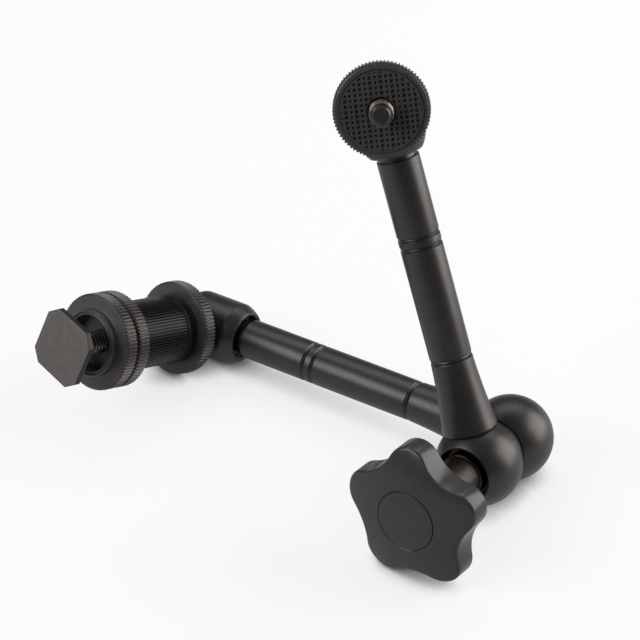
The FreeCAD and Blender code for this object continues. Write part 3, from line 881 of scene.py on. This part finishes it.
def cup_mesh():
    """Shell of the cup, from its seam over the dome and the mouth into the ball's socket."""
    dome = arc((CUP_R, CUP_SHOULDER), (CUP_BREAK_R, CUP_BREAK), (CUP_TOP_R, CUP_TOP), steps=10)
    dome = [(min(r, CUP_R), z) for r, z in dome]
    middle = (SOCKET_R * math.cos(SOCKET_MID), SOCKET_R * math.sin(SOCKET_MID))
    socket = arc((MOUTH_R, MOUTH_SEAT), middle, (SOCKET_R, 0), steps=10)
    corners = [(RING_BORE, -CUP_SEAM), *plain([(CUP_R, -CUP_SEAM), (CUP_R, CUP_SHOULDER)]),
               *plain(dome[:-1]), (CUP_TOP_R, CUP_TOP, 0, ROUND),
               (MOUTH_R + MOUTH_BEVEL, CUP_TOP, 0, SOFT), (MOUTH_R, CUP_TOP - MOUTH_BEVEL, 0, SOFT),
               (MOUTH_R, MOUTH_SEAT), *plain(socket[:-1]), (SOCKET_R, 0, 0, 0),
               (CUP_BORE, -SOCKET_SKIRT), (CUP_BORE, -CUP_STEP), (RING_BORE, -CUP_STEP)]
    return turned(soften(corners), segments=144)


ARM_BODY = {"a": "front_hub", "b": "rear_hub"}
for side in ("a", "b"):
    body = ARM_BODY[side]
    piece("arm_collar_" + side, collar_mesh(), AT_ARM[side], body, ["collar_" + side], BLACK)
    piece("arm_tube_" + side, tube_mesh(), AT_ARM[side], body, ["tube_" + side], BLACK)
    piece("cup_taper_" + side, nose_mesh(), AT_CUP[side], "cup_" + side, ["cup_nose_" + side], BLACK)
    cup = piece("cup_shell_" + side, cup_mesh(), AT_CUP[side], "cup_" + side,
                ["ball_cup_" + side], BLACK)
    notched(cup, AT_CUP[side], 2 * CUP_TOP)


# Studs, lock discs and pads

def thread_shape(r, z, weight, angle):
    """Helical V thread; a chamfer or neck that lies deeper than the thread cuts it away."""
    phase = (z / PITCH - angle / TAU) % 1.0
    crest = STUD_R - THREAD * min(abs(phase - 0.5) * THREAD_FLANK, 1.0)
    return min(r, crest) if weight else r


def stud_mesh():
    """Neck under the disc, then the thread, which sinks to a bevelled tip."""
    rows = [(0, STUD_START, 0), (STUD_NECK_R, STUD_START, 0), (STUD_NECK_R, DISC_BACK, 0),
            (STUD_R, DISC_BACK, 0)]
    z = DISC_BACK + STUD_PLAIN
    while z < STUD_TIP:
        deep = STUD_TIP - z
        if deep > TIP_BEVEL:
            sunk = STUD_ROOT_R + max(0.0, TIP_SLOPE * (deep - TIP_STEP))
            rows.append((min(STUD_R, sunk), z, 1))
        else:
            rows.append((STUD_TIP_R + deep, z, 0))
        z += PITCH / THREAD_STEPS
    rows += [(STUD_TIP_R, STUD_TIP, 0), (STUD_INNER_R, STUD_TIP, 0), (0, STUD_TIP, 0)]
    return turned(rows, THREAD_SIDES, thread_shape)


def knurled(radius, low, high, top):
    """Disc with teeth on the rim; the corners in top lead from its upper face to the bore."""
    root, bevel = radius - TOOTH, radius - TOOTH_BEVEL
    below, above = low + CHAMFER, high - CHAMFER
    corners = [(STUD_BORE, low), (root - CHAMFER, low, 0, EDGE), (root, below, 0, CRISP),
               (bevel, below, TOOTH_BEVEL_CUT, 0), (radius, below + TOOTH_RISE, 1, 0),
               (radius, above - TOOTH_RISE, 1, 0), (bevel, above, TOOTH_BEVEL_CUT, 0),
               (root, above, 0, CRISP), (root - CHAMFER, high, 0, EDGE), *top]
    teeth = toothed(TEETH, TOOTH, TOOTH_CREST, TOOTH_FLANK)
    return turned(soften(corners, FINE, steps=2), TEETH * TOOTH_STEPS, teeth)


def disc_mesh(radius, rubber):
    """Lock disc with the pocket for its rubber pad."""
    high = DISC_BACK + DISC_T
    pocket, floor = rubber + RUBBER_GAP, high - RUBBER_SET
    top = [(pocket, high, 0, EDGE), (pocket, floor, 0, TIGHT), (STUD_BORE, floor, 0, TIGHT)]
    return knurled(radius, DISC_BACK, high, top)


def pad_mesh(radius):
    """Rubber ring with rows of small square pits, as one height field on rings."""
    low = DISC_BACK + DISC_T - RUBBER_SET

    def height(x, y, r):
        u = (x * math.cos(PAD_TILT) + y * math.sin(PAD_TILT)) / WAFFLE
        v = (y * math.cos(PAD_TILT) - x * math.sin(PAD_TILT)) / WAFFLE
        uneven = math.sin(PIT_MIX_U * math.floor(u) + PIT_MIX_V * math.floor(v)) * PIT_UNEVEN
        wall = max(abs(u % 1.0 - 0.5), abs(v % 1.0 - 0.5)) + uneven
        rim = min(unit((radius - RUBBER_RIM - r) / RIM_FLANK), unit((r - RUBBER_BORE) / BORE_FLANK))
        return low + RUBBER_T - PIT * rim * unit((PIT_HALF - wall) / PIT_FLANK)

    def ring(r, pitted):
        turns = [TAU * j / PAD_TURNS for j in range(PAD_TURNS)]
        spots = [(r * math.cos(a), r * math.sin(a)) for a in turns]
        return [(x, y, height(x, y, r) if pitted else low) for x, y in spots]

    reach = [RUBBER_BORE + (radius - RUBBER_BORE) * k / PAD_RINGS for k in range(PAD_RINGS + 1)]
    return joined([ring(RUBBER_BORE, False), *(ring(r, True) for r in reach), ring(radius, False)])


DISC_RADII = {"a": DISC_A_R, "b": DISC_B_R}
RUBBER_RADII = {"a": RUBBER_A_R, "b": RUBBER_B_R}
for side in ("a", "b"):
    at, rubber = AT_STUD[side], RUBBER_RADII[side]
    piece("stud_thread_" + side, stud_mesh(), at, "stud_" + side, ["stud_" + side], THREADED,
          sharp=30.0)
    piece("disc_" + side, disc_mesh(DISC_RADII[side], rubber), at, "lock_disc_" + side,
          ["lock_disc_" + side], FACES[side], sharp=24.0)
    piece("pad_" + side, pad_mesh(rubber), at, "lock_disc_" + side, ["rubber_pad_" + side],
          RUBBER, sharp=30.0)


# Shoe adapter

def barrel_mesh():
    """Flange with a turned line, then the straight ridges."""
    low, high, foot = BARREL_START, BARREL_END, BARREL_START + FLANGE
    line, half = low + FLANGE_LINE, FLANGE_LINE_HALF
    step = foot + FLANGE_STEP
    root, sunk = BARREL_R - RIDGE - RIDGE_CORE, BARREL_R - RIDGE_SINK
    flange = [(STUD_BORE, low), (FLANGE_R - FLANGE_BEVEL, low),
              (FLANGE_R, low + FLANGE_BEVEL, 0, EASED), (FLANGE_R, line - half, 0, FINE),
              (FLANGE_R - FLANGE_BEVEL, line, 0, CRISP), (FLANGE_R, line + half, 0, FINE),
              (FLANGE_R, foot, 0, EASED), (FLANGE_R - FLANGE_STEP, step, 0, FINE)]
    ridges = [(root, step, 0, 0), (sunk, step + RIDGE_START, RIDGE_START_CUT, 0),
              (BARREL_R, step + RIDGE_RUN, 1, 0), (BARREL_R, high - RIDGE_RUN, 1, 0),
              (sunk, high - RIDGE_START, RIDGE_START_CUT, 0), (root, high, 0, 0), (STUD_BORE, high)]
    teeth = toothed(RIDGES, RIDGE, RIDGE_CREST, RIDGE_FLANK)
    return turned(soften(flange + ridges, steps=2), RIDGES * RIDGE_STEPS, teeth)


def wheel_one_mesh():
    """Upper wheel: a boss with a grooved ring round a deep dish."""
    low = BARREL_END + WHEEL_T + WHEEL_GAP
    high = low + WHEEL_T
    crest = high + BOSS
    lip, floor = crest - RING_DEEP, crest - DISH
    top = [(BOSS_R, high, 0, ROUND), (BOSS_R, crest - BOSS_BEVEL, 0, EASED),
           (BOSS_R - BOSS_BEVEL, crest, 0, EASED), (RING_IN_R + RING_T, crest, 0, EDGE),
           (RING_IN_R + RING_ROOT, crest - RING_ROOT_DEEP, 0, EDGE), (RING_IN_R, lip, 0, EDGE),
           (DISH_R, lip, 0, EASED), (DISH_R - DISH_SLOPE, floor, 0, SOFT), (STUD_BORE, floor)]
    return knurled(WHEEL_R, low, high, top)


def wheel_two_mesh():
    """Lower wheel, flat on both sides."""
    high = BARREL_END + WHEEL_T
    return knurled(WHEEL_R, BARREL_END, high, [(STUD_BORE, high)])


def plate_mesh():
    """Square foot with cut corners and eased edges, as stacked outlines."""
    rows = []

    def ring(inset, z):
        s = SHOE_SIDE / 2 - inset
        c = SHOE_SIDE / 2 - SHOE_CUT - inset * math.tan(math.pi / 8)
        corners = [(s, -c), (s, c), (c, s), (-c, s), (-s, c), (-s, -c), (-c, -s), (c, -s)]
        cos, sin = math.cos(SHOE_TURN), math.sin(SHOE_TURN)
        rows.append([(x * cos - y * sin, x * sin + y * cos, z) for x, y in corners])

    low, high, n = SHOE_FACE - SHOE_T, SHOE_FACE, SHOE_CORNERS
    ring(SHOE_SIDE / 2 - SHOE_BORE, low)
    for inset, rise in quarter(SHOE_EASE, steps=4):
        ring(inset, low + rise)
    for drop, inset in quarter(SHOE_EASE, steps=4):
        ring(inset, high - drop)
    points = [p for row in rows for p in row]
    sides = [face for i in range(len(rows) - 1) for face in belt(i, i + 1, n)]
    ends = [tuple(reversed(range(n))), tuple(range(len(points) - n, len(points)))]
    return points, sides + ends


def spindle_mesh():
    """Threaded spindle with the round post under the foot."""
    start, low = BARREL_END - SPINDLE_SINK, SHOE_FACE - SHOE_T
    post, end = low - POST, low + POST_SINK
    rows = [(0, start, 0), (STUD_R, start, 0)]
    z = start + SPINDLE_START
    while z < post - SPINDLE_PLAIN:
        rows.append((STUD_R, z, 1))
        z += PITCH / SPINDLE_STEPS
    rows += [(STUD_R, post, 0), (POST_R - POST_BEVEL, post, 0), (POST_R, post + POST_BEVEL, 0),
             (POST_R, end, 0), (0, end, 0)]
    return turned(rows, THREAD_SIDES, thread_shape)


AT_B = AT_STUD["b"]
piece("adapter_barrel", barrel_mesh(), AT_B, "shoe_barrel", ["shoe_barrel"], RIDGED_IN_PAINTED_SHADE, sharp=24.0)
piece("adapter_wheel_2", wheel_two_mesh(), AT_B, "shoe_wheel_2", ["shoe_wheel_2"], FACES["wheel"],
      sharp=24.0)
piece("adapter_wheel_1", wheel_one_mesh(), AT_B, "shoe_wheel_1", ["shoe_wheel_1"], FACES["wheel"],
      sharp=24.0)
piece("foot_plate", plate_mesh(), AT_B, "shoe_barrel", ["shoe_foot"], PLATE, sharp=34.0)
piece("foot_spindle", spindle_mesh(), AT_B, "shoe_barrel", ["shoe_foot"], THREADED, sharp=50.0)


# CAD nodes that stay as they are

STAYS = {"friction_washer": ACETAL, "ball_pad_a": ACETAL, "ball_pad_b": ACETAL,
         "thrust_washer": BRONZE, "front_cone": STEEL, "rear_cone": STEEL, "cone_springs": STEEL,
         "push_rod_a": STEEL, "push_rod_b": STEEL, "ball_a": STEEL, "ball_b": STEEL,
         "swivel_ring_a": BLACK, "swivel_ring_b": BLACK}
for node, material in STAYS.items():
    mesh = frame["nodes"][node].data
    mesh.materials.clear()
    mesh.materials.append(material)
    keep = mesh.attributes.new("place", "FLOAT_VECTOR", "POINT")
    keep.data.foreach_set("vector", [c / MM for v in mesh.vertices for c in v.co])


# Studio

def studio_floor():
    """White floor that glows for the camera, and less in the object's gloss. A faint matt side
    takes the light shadow, and occlusion darkens the glow where the object comes close: a painted
    contact shadow, in the gloss too."""
    bpy.ops.mesh.primitive_plane_add(size=FLOOR_SIDE, location=(0, 0, 0))
    floor = bpy.context.object
    floor.name = "floor"
    m, tree, shader = nodes_of("floor_white")
    tree.nodes.remove(shader)
    path = add_node(tree, "ShaderNodeLightPath", {})
    sky = add_node(tree, "ShaderNodeAmbientOcclusion", {"Distance": CONTACT_SHADE}, samples=8)
    # Where the object comes close, the floor's glow is darkened: a painted contact shadow.
    contact_shadow = range_node(tree, (sky, "AO"), CONTACT_OPEN, interpolation_type="SMOOTHSTEP")
    seen = maths_node(tree, "MULTIPLY", (path, "Is Camera Ray"), FLOOR_GLOW)
    power = maths_node(tree, "MULTIPLY_ADD", (path, "Is Glossy Ray"), FLOOR_GLOSS, seen)
    strength = maths_node(tree, "MULTIPLY", power, contact_shadow)
    glow = add_node(tree, "ShaderNodeEmission", {"Color": FLOOR_COLOUR, "Strength": strength})
    diffuse = add_node(tree, "ShaderNodeBsdfDiffuse", {"Color": FLOOR_TINT})
    both = add_node(tree, "ShaderNodeAddShader", {0: (diffuse, "BSDF"), 1: (glow, "Emission")})
    feed(tree, tree.nodes["Material Output"], {"Surface": (both, "Shader")})
    floor.data.materials.append(m)


def studio_world():
    """White for the camera, and a dim fill for everything else."""
    world = bpy.data.worlds.new("studio")
    bpy.context.scene.world = world
    world.use_nodes = True
    tree = world.node_tree
    path = add_node(tree, "ShaderNodeLightPath", {})
    power = range_node(tree, (path, "Is Camera Ray"), (0.0, 1.0), (WORLD_LIGHT, 1.0))
    feed(tree, tree.nodes["Background"], {"Color": WORLD_COLOUR, "Strength": power})


def lamp(name, at, towards, size, watts, colour):
    data = bpy.data.lights.new(name, "AREA")
    data.shape = "RECTANGLE"
    data.size, data.size_y = size
    data.energy = watts
    data.color = colour
    obj = bpy.data.objects.new(name, data)
    bpy.context.scene.collection.objects.link(obj)
    obj.location = at
    obj.rotation_mode = "QUATERNION"
    obj.rotation_quaternion = (Vector(towards) - Vector(at)).to_track_quat("-Z", "Y")


def camera():
    """Camera of the photograph, from its fitted place against the front hub."""
    data = bpy.data.cameras.new("camera")
    obj = bpy.data.objects.new("camera", data)
    bpy.context.scene.collection.objects.link(obj)
    data.sensor_width = CAMERA_SENSOR
    data.lens = CAMERA_LENS
    data.clip_start, data.clip_end = CAMERA_CLIP
    obj.location = HUB_A + CAMERA_OFFSET
    obj.rotation_euler = (math.pi / 2 - CAMERA_DOWN, 0, 0)
    bpy.context.scene.camera = obj


studio_floor()
studio_world()
for name, settings in LAMPS.items():
    lamp(name, *settings)
camera()

bpy.context.scene.view_settings.view_transform = "Standard"
